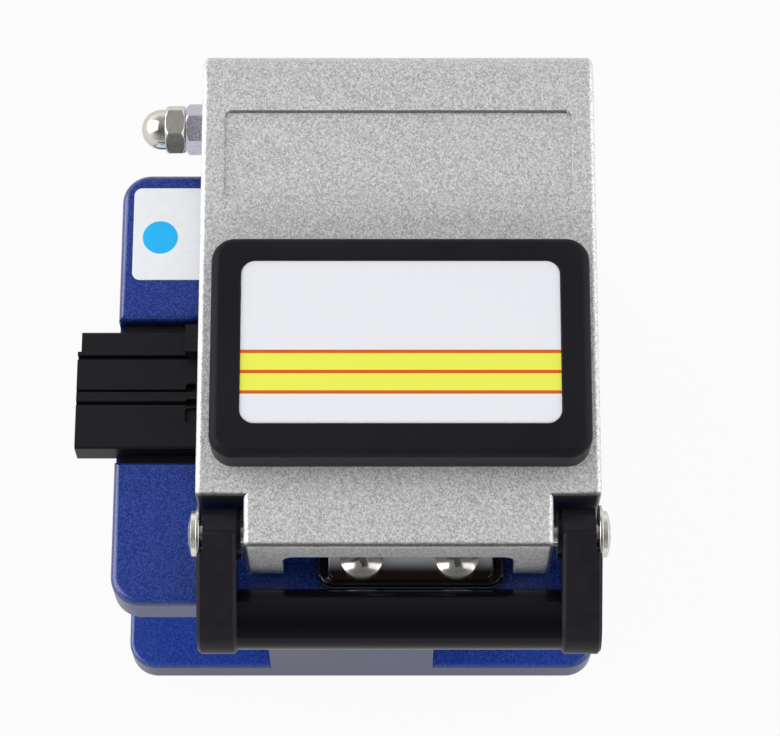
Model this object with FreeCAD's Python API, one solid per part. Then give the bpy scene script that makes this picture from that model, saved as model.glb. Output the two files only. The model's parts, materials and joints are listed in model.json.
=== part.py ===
import FreeCAD, Part
import math
import os

# Fibre cleaver: a hand tool that scores and snaps an optical fibre.
# A base plate, a rear column and a deck make a C-shaped frame. A carriage with a round blade
# slides front to back on two rods under the deck. A sprung cover arm, hinged at the rear,
# clamps the fibre and carries the anvil, and a press bail turns on the front of the arm.
# Millimetres. While the parts are drawn, X = 0 is the middle of the arm, Y = 0 the front of
# the base plate and Z = 0 the table. The last step moves them over the middle of the footprint.

Vector = FreeCAD.Vector
ALONG_X = Vector(1, 0, 0)
ALONG_Y = Vector(0, 1, 0)
ALONG_Z = Vector(0, 0, 1)

fixed_gap = 0.03              # radial room of a pin that stays put in its hole
running_gap = 0.05            # radial room of a pin that turns or slides
face_gap = 0.3                # between faces that move past each other

# base
foot_height = 1.6
foot_radius = 4.0
foot_recess = 0.5
base_left, base_right = -34.8, 25.4
base_depth = 60.0
base_thick = 4.8
base_corner = 3.5
base_bottom = foot_height
base_top = base_bottom + base_thick
foot_inset = 6.4
block_left, block_right = -16.4, 4.5      # raised block at the front, part of the base
block_depth = 8.0
block_top = base_bottom + 15.0

# deck and column
deck_left, deck_right = -34.7, 24.4
deck_depth = 56.2
deck_top = base_bottom + 35.3
deck_thick = 6.0
deck_bottom = deck_top - deck_thick
deck_corner = 3.6
deck_edge = 0.9
column_front = 47.5
column_inset = 0.7
channel_front, channel_rear = 18.05, 36.5
channel_depth = 3.0
channel_floor = deck_top - channel_depth
body_screw_x = (-21.5, -5.9, 9.7)
body_screw_y = 51.6

# hinge at the rear of the deck
hinge_y = 59.75
hinge_z = base_bottom + 41.0
shaft_radius = 1.5
lug_radius = 3.5
lug_inner, lug_outer = 7.0, 21.2

# blade slide
fibre_y = 25.9
fibre_z = deck_top + 1.1
blade_x = 1.6
blade_radius = 8.0
blade_thick = 0.8
blade_y = 13.8
blade_z = fibre_z - blade_radius - 0.1
travel = 23.5
slot_left, slot_right = -2.4, 5.6
rod_radius = 2.0
slide_z = base_bottom + 10.0
rod_x_pair = (-12.4, 0.6)
rod_front, rod_rear = 1.5, 50.0
carriage_left, carriage_right = -17.9, 6.1
carriage_front = 8.6
carriage_length = 15.0
carriage_bottom = base_bottom + 6.0
carriage_top = block_top + 0.5
bush_radius = 3.0
bush_length = 4.0
web_left, web_right = -1.6, 0.9
foot_plate_thick = 1.8

# fibre guide
guide_left, guide_right = -39.5, -19.0
guide_front, guide_rear = 19.35, 34.5
guide_top = deck_top + 1.0
guide_end = -26.1             # where the full section stops, beside the arm

# arm
arm_half = 23.95
arm_front, arm_rear = 3.6, 66.7
arm_front_draft = 0.24        # the front wall leans back by this much on its way up
arm_front_top = base_bottom + 46.5
arm_slope = 3.6               # degrees, the top rises to the rear
arm_wall = 2.2
arm_roof = 2.4
arm_rear_round = 4.0
arm_side_bottom = base_bottom + 37.4
leg_bottom = base_bottom + 36.0
rear_wall_bottom = base_bottom + 44.5
tongue_half = 18.2
notch_rear = 9.9
mouth_half = 13.8             # opening under the front wall
mouth_top = base_bottom + 42.4

# label pad on the arm
bezel_middle = 0.25           # the pad sits a little right of the arm's middle
bezel_half = 22.45
bezel_front, bezel_rear = 13.4, 40.3
bezel_height = 5.2
bezel_corner = 2.8
bezel_edge = 1.1
window_half = 18.9
window_front, window_rear = 17.35, 37.35
window_corner = 1.65
window_depth = 0.6

# press bail
pivot_y = 6.3
pivot_z = base_bottom + 43.4
bar_y = -2.72
bar_z = base_bottom + 38.3
bar_radius = 3.58
bail_shift = 0.1              # side play, taken up towards +X
bail_outer = 23.85
bail_inner = 19.15
hub_outer = 23.1
hub_inner = 18.6
hub_radius = 3.05
link_radius = 3.35            # the flat sides of the link stand this far from the pivot's axis
link_start = pivot_y - 0.8
bail_end_radius = 4.1
washer_radius = 3.4
washer_thick = 0.4
washer_gap = 0.4              # shoulder between the hub and the washer
pivot_head_height = 1.1


def block(x0, x1, y0, y1, z0, z1):
    return Part.makeBox(x1 - x0, y1 - y0, z1 - z0, Vector(x0, y0, z0))


def rod(start, along, length, radius):
    return Part.makeCylinder(radius, length, start, along)


def rod_x(x0, x1, y, z, radius):
    return rod(Vector(x0, y, z), ALONG_X, x1 - x0, radius)


def rod_y(x, y0, y1, z, radius):
    return rod(Vector(x, y0, z), ALONG_Y, y1 - y0, radius)


def rod_z(x, y, z0, z1, radius):
    return rod(Vector(x, y, z0), ALONG_Z, z1 - z0, radius)


def prism_x(outline, x0, x1):
    """A closed outline of (y, z) points, carried along X."""
    corners = [Vector(x0, y, z) for y, z in outline]
    face = Part.Face(Part.makePolygon(corners + corners[:1]))
    return face.extrude(Vector(x1 - x0, 0, 0))


def runs_along(edge, direction):
    if len(edge.Vertexes) != 2 or not isinstance(edge.Curve, Part.Line):
        return False
    return abs(abs(edge.Curve.Direction.dot(direction)) - 1) < 1e-6


def edges_along(shape, direction, keep=lambda middle: True):
    return [e for e in shape.Edges if runs_along(e, direction) and keep(e.BoundBox.Center)]


def edges_at_height(shape, z):
    return [e for e in shape.Edges if abs(e.BoundBox.ZMin - z) < 1e-4 and abs(e.BoundBox.ZMax - z) < 1e-4]


def rounded_block(x0, x1, y0, y1, z0, z1, corner, top_bevel=0.0):
    """A block with rounded upright corners and, if asked, a bevelled top edge."""
    shape = block(x0, x1, y0, y1, z0, z1)
    shape = shape.makeFillet(corner, edges_along(shape, ALONG_Z))
    if top_bevel:
        shape = shape.makeChamfer(top_bevel, edges_at_height(shape, z1))
    return shape


def placed(shape, position, direction):
    """A shape drawn along +Z at the origin, turned along direction and moved to position."""
    shape = shape.copy()
    shape.Placement = FreeCAD.Placement(position, FreeCAD.Rotation(ALONG_Z, direction))
    return shape


def pan_screw(head_radius, head_height, shank_radius, shank_length):
    """Head above Z = 0, shank below it."""
    head = Part.makeCylinder(head_radius, head_height)
    head = head.makeChamfer(head_height * 0.45, edges_at_height(head, head_height))
    return head.fuse(rod_z(0, 0, -shank_length, 0.2, shank_radius)).removeSplitter()


def hexagon_nut(across_corners, x_outer, x_inner, turn):
    """A nut on the hinge axis with chamfered ends, and its corners turned by turn degrees."""
    corner_radius = across_corners / 2
    outline = []
    for k in range(6):
        angle = math.radians(turn + 60 * k)
        outline.append((hinge_y + corner_radius * math.cos(angle), hinge_z + corner_radius * math.sin(angle)))
    nut = prism_x(outline, x_outer, x_inner)
    barrel = rod_x(x_outer, x_inner, hinge_y, hinge_z, corner_radius)
    barrel = barrel.makeChamfer(0.35, [e for e in barrel.Edges if e.Closed])
    return nut.common(barrel)


def link_x(near, near_radius, far, far_radius, x0, x1):
    """A flat link round two (y, z) centres, its sides straight and tangent to both ends."""
    dy, dz = far[0] - near[0], far[1] - near[1]
    length = math.hypot(dy, dz)
    heading = math.atan2(dz, dy)
    lean = math.acos((near_radius - far_radius) / length)

    def on_circle(centre, radius, angle):
        return Vector(x0, centre[0] + radius * math.cos(angle), centre[1] + radius * math.sin(angle))

    near_up = on_circle(near, near_radius, heading + lean)
    near_back = on_circle(near, near_radius, heading + math.pi)
    near_down = on_circle(near, near_radius, heading - lean)
    far_up = on_circle(far, far_radius, heading + lean)
    far_front = on_circle(far, far_radius, heading)
    far_down = on_circle(far, far_radius, heading - lean)
    edges = [Part.Arc(near_up, near_back, near_down).toShape(), Part.makeLine(near_down, far_down),
             Part.Arc(far_down, far_front, far_up).toShape(), Part.makeLine(far_up, near_up)]
    return Part.Face(Part.Wire(edges)).extrude(Vector(x1 - x0, 0, 0))


def arm_top(y):
    return arm_front_top + (y - arm_front) * math.tan(math.radians(arm_slope))


def foot_places():
    for x in (base_left + foot_inset, base_right - foot_inset):
        for y in (foot_inset, base_depth - foot_inset):
            yield x, y


# ---- frame -------------------------------------------------------------------------------

def make_base_plate():
    plate = rounded_block(base_left, base_right, 0, base_depth, base_bottom, base_top, base_corner)
    raised = block(block_left, block_right, 0, block_depth, base_bottom + 1, block_top)
    edges = edges_along(raised, ALONG_Z, lambda p: p.y > 1)
    raised = raised.makeFillet(1.0, edges + edges_at_height(raised, block_top))
    base = plate.fuse(raised).removeSplitter()
    front_lip = edges_along(base, ALONG_X, lambda p: p.y < 0.1 and abs(p.z - base_top) < 0.01)
    base = base.makeFillet(0.6, front_lip)
    base = base.makeChamfer(0.25, edges_at_height(base, base_bottom))
    for x, y in foot_places():
        base = base.cut(rod_z(x, y, base_bottom, base_bottom + foot_recess, foot_radius + fixed_gap))
    for x in body_screw_x:
        base = base.cut(rod_z(x, body_screw_y, base_bottom, base_bottom + 2.4, 3.1))
        base = base.cut(rod_z(x, body_screw_y, base_bottom, base_top, 1.5 + fixed_gap))
    for x in rod_x_pair:
        base = base.cut(rod_y(x, rod_front - 0.1, block_depth, slide_z, rod_radius + fixed_gap))
    return base


def make_rubber_feet():
    feet = []
    for x, y in foot_places():
        foot = rod_z(x, y, 0, foot_height + foot_recess, foot_radius)
        feet.append(foot.makeChamfer(0.4, edges_at_height(foot, 0)))
    return Part.makeCompound(feet)


def make_rear_column():
    column = block(deck_left + column_inset, deck_right - column_inset,
                   column_front, deck_depth, base_top, deck_bottom)
    column = column.makeFillet(deck_corner - column_inset, edges_along(column, ALONG_Z, lambda p: p.y > 50))
    for x in body_screw_x:
        column = column.cut(rod_z(x, body_screw_y, base_top, deck_bottom, 1.5 + fixed_gap))
    for x in rod_x_pair:
        column = column.cut(rod_y(x, column_front, rod_rear + 0.1, slide_z, rod_radius + fixed_gap))
    return column


def make_body_screws():
    screw = pan_screw(2.75, 2.2, 1.5, deck_bottom + 3.5 - base_bottom - 2.4)
    screws = [placed(screw, Vector(x, body_screw_y, base_bottom + 2.4), -ALONG_Z) for x in body_screw_x]
    return Part.makeCompound(screws)


def hinge_lug(x0, x1):
    """A bearing for the hinge shaft on a wedge that rises from the rear of the deck."""
    foot_y, foot_z = deck_depth - 8.0, deck_top - 1.0
    wedge = prism_x([(foot_y, foot_z), (deck_depth, deck_bottom), (hinge_y + lug_radius, hinge_z),
                     (hinge_y - 1.2, hinge_z + lug_radius - 0.2), (hinge_y - 4.2, hinge_z + 1.0)], x0, x1)
    trim = block(x0, x1, hinge_y, hinge_y + 2 * lug_radius, deck_bottom - 1, hinge_z + lug_radius)
    trim = trim.cut(rod_x(x0, x1, hinge_y, hinge_z, lug_radius))
    return wedge.cut(trim).fuse(rod_x(x0, x1, hinge_y, hinge_z, lug_radius))


def make_deck():
    deck = rounded_block(deck_left, deck_right, 0, deck_depth, deck_bottom, deck_top, deck_corner)
    channel = block(deck_left - 1, deck_right + 1, channel_front, channel_rear, channel_floor, deck_top + 1)
    deck = deck.cut(channel)
    deck = deck.makeFillet(deck_edge, edges_at_height(deck, deck_top))
    for side in (-1, 1):
        x0, x1 = sorted((side * lug_inner, side * lug_outer))
        deck = deck.fuse(hinge_lug(x0, x1))
    deck = deck.cut(rod_x(-lug_outer, lug_outer, hinge_y, hinge_z, shaft_radius + running_gap))
    slot_front = blade_y - blade_radius - 0.8
    slot_rear = blade_y + travel + blade_radius + 0.8
    slot = rounded_block(slot_left, slot_right, slot_front, slot_rear, deck_bottom - 1, deck_top + 1, 2.0)
    deck = deck.cut(slot)
    for x in body_screw_x:
        deck = deck.cut(rod_z(x, body_screw_y, deck_bottom, deck_bottom + 3.6, 1.5 + fixed_gap))
    for x, y in guide_screw_places():
        deck = deck.cut(rod_z(x, y, deck_bottom, deck_bottom + 1.2, 2.4))
        deck = deck.cut(rod_z(x, y, deck_bottom, channel_floor, 1.0 + fixed_gap))
    for x in slot_plate_screw_x:
        deck = deck.cut(rod_z(x, slot_plate_screw_y, deck_top - 4.2, deck_top, 1.25 + fixed_gap))
    return deck.removeSplitter()


def make_slide_rods():
    return Part.makeCompound([rod_y(x, rod_front, rod_rear, slide_z, rod_radius) for x in rod_x_pair])


# plate that closes the front of the blade slot
slot_plate_left, slot_plate_right = -9.7, 12.65
slot_plate_front, slot_plate_rear = 1.75, 9.3
slot_plate_thick = 1.2
slot_plate_rim = 1.3           # at the sides and rear
slot_plate_front_rim = 0.7
slot_plate_screw_x = (-4.4, 7.0)
slot_plate_screw_y = 5.15


def make_slot_plate():
    plate = rounded_block(slot_plate_left, slot_plate_right, slot_plate_front, slot_plate_rear,
                          deck_top, deck_top + slot_plate_thick, 1.9, 0.3)
    raised = rounded_block(slot_plate_left + slot_plate_rim, slot_plate_right - slot_plate_rim,
                           slot_plate_front + slot_plate_front_rim, slot_plate_rear - slot_plate_rim,
                           deck_top + 0.5, deck_top + slot_plate_thick + 0.4, 1.0, 0.25)
    plate = plate.fuse(raised)
    for x in slot_plate_screw_x:
        plate = plate.cut(rod_z(x, slot_plate_screw_y, deck_top, deck_top + 2, 1.25 + fixed_gap))
    return plate.removeSplitter()


def make_slot_plate_screws():
    screw = pan_screw(2.6, 1.7, 1.25, 5.5)
    seat = deck_top + slot_plate_thick + 0.4
    return Part.makeCompound([placed(screw, Vector(x, slot_plate_screw_y, seat), ALONG_Z)
                              for x in slot_plate_screw_x])


def guide_screw_places():
    return (-30.0, 22.6), (-30.0, 29.4)


def make_fibre_guide():
    """A grooved bar across the channel, on a thin flange that fills the channel's width."""
    step_y = 31.9
    guide = block(guide_left, guide_right, guide_front, guide_rear, channel_floor, guide_top)
    guide = guide.makeChamfer(0.25, edges_along(guide, ALONG_X, lambda p: p.z > guide_top - 0.1))
    guide = guide.cut(block(guide_left - 1, guide_left + 0.45, step_y, guide_rear + 1,
                            channel_floor - 1, guide_top + 1))
    guide = guide.fuse(block(deck_left + 0.6, guide_right, channel_front + 0.05, channel_rear - 0.05,
                             channel_floor, channel_floor + 1.0))
    stop = block(guide_end, guide_right, step_y - 0.9, guide_rear, guide_top - 1, guide_top + 2.6)
    guide = guide.fuse(stop)
    guide = guide.cut(block(guide_left - 1, guide_end + 0.5, 30.85, 31.45, guide_top - 1.0, guide_top + 1))
    for y, half in ((26.8, 0.22), (25.2, 0.3)):
        groove = [(y - half, guide_top + 0.1), (y + half, guide_top + 0.1), (y, guide_top - 2.2 * half)]
        guide = guide.cut(prism_x(groove, guide_left - 1, guide_right + 1))
    for y0, y1, depth in ((26.75, 27.75, 1.2), (24.75, 25.75, 1.2), (22.6, 24.55, 0.6)):
        pocket = rounded_block(guide_end, guide_right + 3, y0, y1, guide_top - depth, guide_top + 1, 0.45)
        guide = guide.cut(pocket)
    for x, y in guide_screw_places():
        guide = guide.cut(rod_z(x, y, channel_floor, channel_floor + 2.6, 1.0 + fixed_gap))
    return guide.removeSplitter()


def make_guide_screws():
    screw = pan_screw(2.1, 1.0, 1.0, 4.2)
    return Part.makeCompound([placed(screw, Vector(x, y, deck_bottom + 1.2), -ALONG_Z)
                              for x, y in guide_screw_places()])


clamp_spans = {"left": (-14.5, -3.6), "right": (6.8, 17.7)}
clamp_half_depth = 4.6
clamp_corner = 1.0
pad_thick = 1.5
pad_half_depth = 2.95


def pad(side, bottom, top):
    """A rubber pad for the clamp on one side."""
    x0, x1 = clamp_spans[side]
    y0, y1 = fibre_y - pad_half_depth, fibre_y + pad_half_depth
    return rounded_block(x0 + 1.25, x1 - 1.25, y0, y1, bottom, top, 0.5)


def make_lower_clamp(side):
    x0, x1 = clamp_spans[side]
    top = fibre_z - 0.1 - pad_thick * 0.6
    seat = rounded_block(x0, x1, fibre_y - clamp_half_depth, fibre_y + clamp_half_depth,
                         channel_floor, top, clamp_corner, 0.3)
    recess = block(x0 + 1.2, x1 - 1.2, fibre_y - 3, fibre_y + 3, top - pad_thick * 0.4, top + 1)
    return seat.cut(recess)


def make_lower_pad(side):
    top = fibre_z - 0.1
    return pad(side, top - pad_thick, top)


def make_torsion_spring():
    """Coils drawn as a grooved sleeve, with one leg under the arm's roof and one on the deck."""
    wire = 0.45
    turns = 6
    inner = shaft_radius + 0.35
    root, crest = inner + wire, inner + 2 * wire
    start = -turns * wire
    profile = [(start, inner), (start, root)]
    for k in range(turns):
        left = start + 2 * wire * k
        profile += [(left + 0.6 * wire, crest), (left + 1.4 * wire, crest), (left + 2 * wire, root)]
    profile.append((-start, inner))
    corners = [Vector(x, radius, 0) for x, radius in profile]
    coil = Part.Face(Part.makePolygon(corners + corners[:1])).revolve(Vector(0, 0, 0), ALONG_X, 360)
    coil.translate(Vector(0, hinge_y, hinge_z))
    for x, side, lean, length in ((start + wire, 1, 17.5, 11.0), (-start - wire, -1, 25.0, 7.4)):
        tilt = math.radians(lean)
        leg_start = Vector(x, hinge_y + root * math.sin(tilt), hinge_z + side * root * math.cos(tilt))
        coil = coil.fuse(rod(leg_start, Vector(0, -math.cos(tilt), side * math.sin(tilt)), length, wire))
    return coil


shelf_label_left, shelf_label_right = -33.2, -21.6
shelf_label_front, shelf_label_rear = 41.8, 54.2


def make_shelf_label():
    return rounded_block(shelf_label_left, shelf_label_right, shelf_label_front, shelf_label_rear,
                         deck_top, deck_top + 0.12, 1.0)


# ---- slide -------------------------------------------------------------------------------

def bush_starts():
    return carriage_front, carriage_front + carriage_length - bush_length


def make_slide_carriage():
    y0, y1 = carriage_front, carriage_front + carriage_length
    carriage = rounded_block(carriage_left, carriage_right, y0, y1, carriage_bottom, carriage_top, 1.2, 0.5)
    carriage = carriage.cut(block(carriage_left + 4, carriage_right - 4, y0 + 5, y1 - 5, carriage_bottom - 1,
                                  carriage_bottom + 1.5))
    for x in rod_x_pair:
        carriage = carriage.cut(rod_y(x, y0, y1, slide_z, rod_radius + 0.4))
        for start in bush_starts():
            carriage = carriage.cut(rod_y(x, start, start + bush_length, slide_z, bush_radius + fixed_gap))
    for x, y in blade_bracket_screw_places() + thumb_screw_places():
        carriage = carriage.cut(rod_z(x, y, carriage_top - 2.0, carriage_top, 1.0 + fixed_gap))
    return carriage


def make_slide_bushes():
    bushes = []
    for x in rod_x_pair:
        for start in bush_starts():
            bush = rod_y(x, start, start + bush_length, slide_z, bush_radius)
            bushes.append(bush.cut(rod_y(x, start, start + bush_length, slide_z, rod_radius + running_gap)))
    return Part.makeCompound(bushes)


thumb_left, thumb_right = -15.4, 3.4
thumb_foot_right = -3.4
thumb_front, thumb_rear = 0.4, 3.2
thumb_top = carriage_top + 11.5


def thumb_screw_places():
    return [(-13.2, 13.6), (-6.2, 13.6)]


def make_thumb_tab():
    """A foot on the carriage and an upright face, hollowed and ribbed for the thumb."""
    foot = block(thumb_left, thumb_foot_right, thumb_front + 1, 16.0, carriage_top, carriage_top + 2.2)
    face = rounded_block(thumb_left, thumb_right, thumb_front, thumb_rear, carriage_top, thumb_top, 0.8, 0.6)
    hollow_radius = 16.0
    hollow = rod_x(thumb_left + 1.6, thumb_right - 1.6, thumb_front - hollow_radius + 1.1,
                   (carriage_top + thumb_top) / 2, hollow_radius)
    face = face.cut(hollow)
    tab = foot.fuse(face)
    for k in range(4):
        z = carriage_top + 2.6 + 2.2 * k
        rib = block(thumb_left + 2.2, thumb_right - 2.2, thumb_front + 0.6, thumb_front + 1.8, z, z + 0.7)
        tab = tab.fuse(rib)
    for x in (thumb_left + 0.6, thumb_foot_right - 1.8):
        tab = tab.fuse(prism_x([(thumb_rear - 0.2, carriage_top + 2), (thumb_rear - 0.2, thumb_top - 3),
                                (thumb_rear + 6, carriage_top + 2)], x, x + 1.2))
    for x, y in thumb_screw_places():
        tab = tab.cut(rod_z(x, y, carriage_top, carriage_top + 2.3, 1.0 + fixed_gap))
    return tab.removeSplitter()


def make_thumb_screws():
    screw = pan_screw(1.9, 1.2, 1.0, 4.0)
    return Part.makeCompound([placed(screw, Vector(x, y, carriage_top + 2.2), ALONG_Z)
                              for x, y in thumb_screw_places()])


def blade_bracket_screw_places():
    return [(3.4, 11.2), (3.4, 20.0)]


def make_blade_bracket():
    """An angle bracket: a foot on the carriage and a web that ends round the blade's axis."""
    y0, y1 = 9.3, 22.0
    top_radius = 3.4
    web = prism_x([(y0, carriage_top), (y1, carriage_top), (blade_y + top_radius, blade_z),
                   (blade_y - top_radius, blade_z)], web_left, web_right)
    web = web.fuse(rod_x(web_left, web_right, blade_y, blade_z, top_radius))
    foot = block(web_left, 5.6, y0, y1, carriage_top, carriage_top + foot_plate_thick)
    bracket = web.fuse(foot)
    bracket = bracket.cut(rod_x(web_left, web_right, blade_y, blade_z, shaft_radius + fixed_gap))
    for x, y in blade_bracket_screw_places():
        bracket = bracket.cut(rod_z(x, y, carriage_top, carriage_top + 3, 1.0 + fixed_gap))
    return bracket.removeSplitter()


def make_bracket_screws():
    screw = pan_screw(1.8, 1.1, 1.0, 3.6)
    return Part.makeCompound([placed(screw, Vector(x, y, carriage_top + foot_plate_thick), ALONG_Z)
                              for x, y in blade_bracket_screw_places()])


def make_round_blade():
    """A disc ground on both sides to its edge."""
    half = blade_thick / 2
    bevel = 1.2
    profile = [(-half, shaft_radius + running_gap), (half, shaft_radius + running_gap),
               (half, blade_radius - bevel), (0.04, blade_radius), (-0.04, blade_radius),
               (-half, blade_radius - bevel)]
    corners = [Vector(x, r, 0) for x, r in profile]
    disc = Part.Face(Part.makePolygon(corners + corners[:1])).revolve(Vector(0, 0, 0), ALONG_X, 360)
    disc.translate(Vector(blade_x, blade_y, blade_z))
    return disc


def make_blade_screw():
    side_gap = 0.25
    seat = blade_x + blade_thick / 2 + side_gap
    screw = pan_screw(3.0, 1.7, shaft_radius, seat - web_left)
    return placed(screw, Vector(seat, blade_y, blade_z), ALONG_X)


# ---- arm ---------------------------------------------------------------------------------

def arm_side_outline():
    """The arm seen from the side, from the front leg over the top and back along the bottom."""
    hinge_drop = 3.9
    lifted = arm_side_bottom + 2.4
    brow = arm_front + arm_front_draft
    return [(arm_front, leg_bottom), (brow, arm_top(brow)), (arm_rear, arm_top(arm_rear)),
            (arm_rear, rear_wall_bottom), (hinge_y + 3.6, hinge_z - 1.4),
            (hinge_y + 1.4, hinge_z - hinge_drop), (hinge_y - 4.0, hinge_z - hinge_drop),
            (channel_rear + 2.0, arm_side_bottom), (channel_rear + 0.8, lifted),
            (channel_front - 0.8, lifted), (channel_front - 2.0, arm_side_bottom),
            (notch_rear + arm_wall, arm_side_bottom), (notch_rear, leg_bottom)]


def arm_rim(arm):
    """The edges round the arm's top, and the side edges of its rounded rear."""
    round_start = arm_rear - arm_rear_round - 0.5
    rim = []
    for edge in arm.Edges:
        points = [v.Point for v in edge.Vertexes]
        at_rear = all(p.y > round_start for p in points)
        on_top = all(abs(p.z - arm_top(p.y)) < 0.02 for p in points)
        on_side = all(abs(abs(p.x) - arm_half) < 0.01 and p.z > rear_wall_bottom + 0.5 for p in points)
        across_rear = at_rear and abs(points[0].x - points[-1].x) > 1
        if (on_top or at_rear and on_side) and not across_rear:
            rim.append(edge)
    return rim


def make_arm_cover():
    arm = prism_x(arm_side_outline(), -arm_half, arm_half)
    rear_edge = edges_along(arm, ALONG_X, lambda p: p.y > arm_rear - 0.1 and p.z > hinge_z + 6)
    arm = arm.makeFillet(arm_rear_round, rear_edge)
    for side in (-1, 1):
        x0, x1 = sorted((side * tongue_half, side * (arm_half + 1)))
        arm = arm.cut(block(x0, x1, 0, notch_rear, base_bottom, arm_front_top + 5))
    uprights = edges_along(arm, ALONG_Z, lambda p: p.y < notch_rear + 0.1 and abs(p.x) > tongue_half + 0.1)
    front_rise = Vector(0, arm_front_draft, arm_top(arm_front + arm_front_draft) - leg_bottom).normalize()
    front_corners = edges_along(arm, front_rise, lambda p: p.y < arm_front + arm_front_draft)
    leg_corners = edges_along(arm, ALONG_Y, lambda p: p.z < leg_bottom + 0.1)
    arm = arm.makeFillet(0.8, uprights + front_corners + leg_corners)
    arm = arm.makeFillet(0.7, arm_rim(arm))
    arm = arm.cut(make_arm_hollow())
    arm = arm.cut(block(-mouth_half, mouth_half, 0, arm_front + 3, base_bottom, mouth_top))
    mouth_corners = edges_along(arm, ALONG_Y, lambda p: abs(p.z - mouth_top) < 0.01 and p.y < arm_front + 3)
    arm = arm.makeFillet(1.6, mouth_corners)
    arm = arm.cut(rod_x(-arm_half - 1, arm_half - 0.6, hinge_y, hinge_z, shaft_radius + fixed_gap))
    for side in (-1, 1):
        x0, x1 = sorted((side * 12.0, side * (tongue_half - 0.5)))
        arm = arm.fuse(rod_x(x0, x1, pivot_y + 1.2, pivot_z - 0.4, 2.6))
        x0, x1 = sorted((side * 11.0, side * (tongue_half + 1)))
        arm = arm.cut(rod_x(x0, x1, pivot_y, pivot_z, shaft_radius + fixed_gap))
    return arm.cut(make_panel_recess()).removeSplitter()


def make_arm_hollow():
    """The open inside of the arm: a wide part and a narrower one under the tongue."""
    floor = base_bottom + 30
    half_wide = arm_half - arm_wall
    half_narrow = tongue_half - arm_wall
    wide_front, wide_rear = notch_rear + arm_wall, arm_rear - arm_wall
    narrow_front = arm_front + arm_wall
    wide = prism_x([(wide_front, floor), (wide_front, arm_top(wide_front) - arm_roof),
                    (wide_rear - 2.5, arm_top(wide_rear - 2.5) - arm_roof),
                    (wide_rear, arm_top(wide_rear) - 5.0), (wide_rear, floor)], -half_wide, half_wide)
    rear_gap = block(-half_wide, half_wide, wide_rear - 1, arm_rear + 1, floor, rear_wall_bottom)
    narrow = prism_x([(narrow_front, floor), (narrow_front, arm_top(narrow_front) - arm_roof),
                      (wide_front, arm_top(wide_front) - arm_roof), (wide_front, floor)],
                     -half_narrow, half_narrow)
    return wide.fuse(narrow).fuse(rear_gap)


def on_arm_top(shape, y):
    """Tilts a shape drawn over the origin and sets it on the arm's top at y."""
    shape.rotate(Vector(0, 0, 0), ALONG_X, arm_slope)
    shape.translate(Vector(0, y, arm_top(y)))
    return shape


def make_panel_recess():
    half_x, half_y, depth = 21.2, 5.6, 0.45
    recess = rounded_block(-half_x, half_x, -half_y, half_y, -depth, 2, 0.8)
    return on_arm_top(recess, 52.6)


def make_label_bezel():
    half_y = (bezel_rear - bezel_front) / 2
    middle = (bezel_rear + bezel_front) / 2
    bezel = rounded_block(-bezel_half, bezel_half, -half_y, half_y, 0, bezel_height, bezel_corner)
    bezel = bezel.makeFillet(bezel_edge, edges_at_height(bezel, bezel_height))
    window = rounded_block(-window_half, window_half, window_front - middle, window_rear - middle,
                           bezel_height - window_depth, bezel_height + 1, window_corner)
    bezel = bezel.cut(window)
    bezel.translate(Vector(bezel_middle, 0, 0))
    return on_arm_top(bezel, middle)


def make_label_plate():
    middle = (bezel_rear + bezel_front) / 2
    room = 0.05
    plate = rounded_block(-window_half + room, window_half - room, window_front - middle + room,
                          window_rear - middle - room, bezel_height - window_depth,
                          bezel_height - window_depth + 0.35, window_corner)
    plate.translate(Vector(bezel_middle, 0, 0))
    return on_arm_top(plate, middle)


def hung_block(x0, x1, y0, y1, z0):
    """A block under the arm's roof, its top cut to the roof's slope."""
    return prism_x([(y0, z0), (y1, z0), (y1, arm_top(y1) - arm_roof), (y0, arm_top(y0) - arm_roof)], x0, x1)


def make_upper_clamp(side):
    x0, x1 = clamp_spans[side]
    bottom = fibre_z + face_gap + pad_thick
    clamp = hung_block(x0, x1, fibre_y - clamp_half_depth, fibre_y + clamp_half_depth, bottom)
    return clamp.makeFillet(clamp_corner, edges_along(clamp, ALONG_Z))


def make_upper_pad(side):
    bottom = fibre_z + face_gap - 0.1
    return pad(side, bottom, bottom + pad_thick + 0.1)


anvil_half = 1.4
carrier_left, carrier_right = -1.9, 5.1


def make_anvil_carrier():
    bottom = fibre_z + 3.0
    carrier = hung_block(carrier_left, carrier_right, 20.4, 31.4, bottom)
    carrier = carrier.makeFillet(0.8, edges_along(carrier, ALONG_Z))
    return carrier.cut(rod_z(blade_x, fibre_y, bottom, bottom + 4, anvil_half + fixed_gap))


def make_anvil():
    """A round pin with a flattened, rounded nose across the fibre."""
    bottom = fibre_z + 0.5
    pin = rod_z(blade_x, fibre_y, bottom, fibre_z + 6.9, anvil_half)
    for side in (-1, 1):
        y0, y1 = sorted((fibre_y + side * 0.7, fibre_y + side * 2))
        pin = pin.cut(block(blade_x - 2, blade_x + 2, y0, y1, bottom, bottom + 1.8))
    return pin


def make_hinge_shaft():
    return rod_x(-29.6, arm_half - 0.7, hinge_y, hinge_z, shaft_radius)


nut_corners = 6.35
nut_thick = 2.4


def make_jam_nut():
    nut = hexagon_nut(nut_corners, -arm_half - nut_thick, -arm_half, 20.5)
    return nut.cut(rod_x(-arm_half - 3, -arm_half, hinge_y, hinge_z, shaft_radius + fixed_gap))


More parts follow.
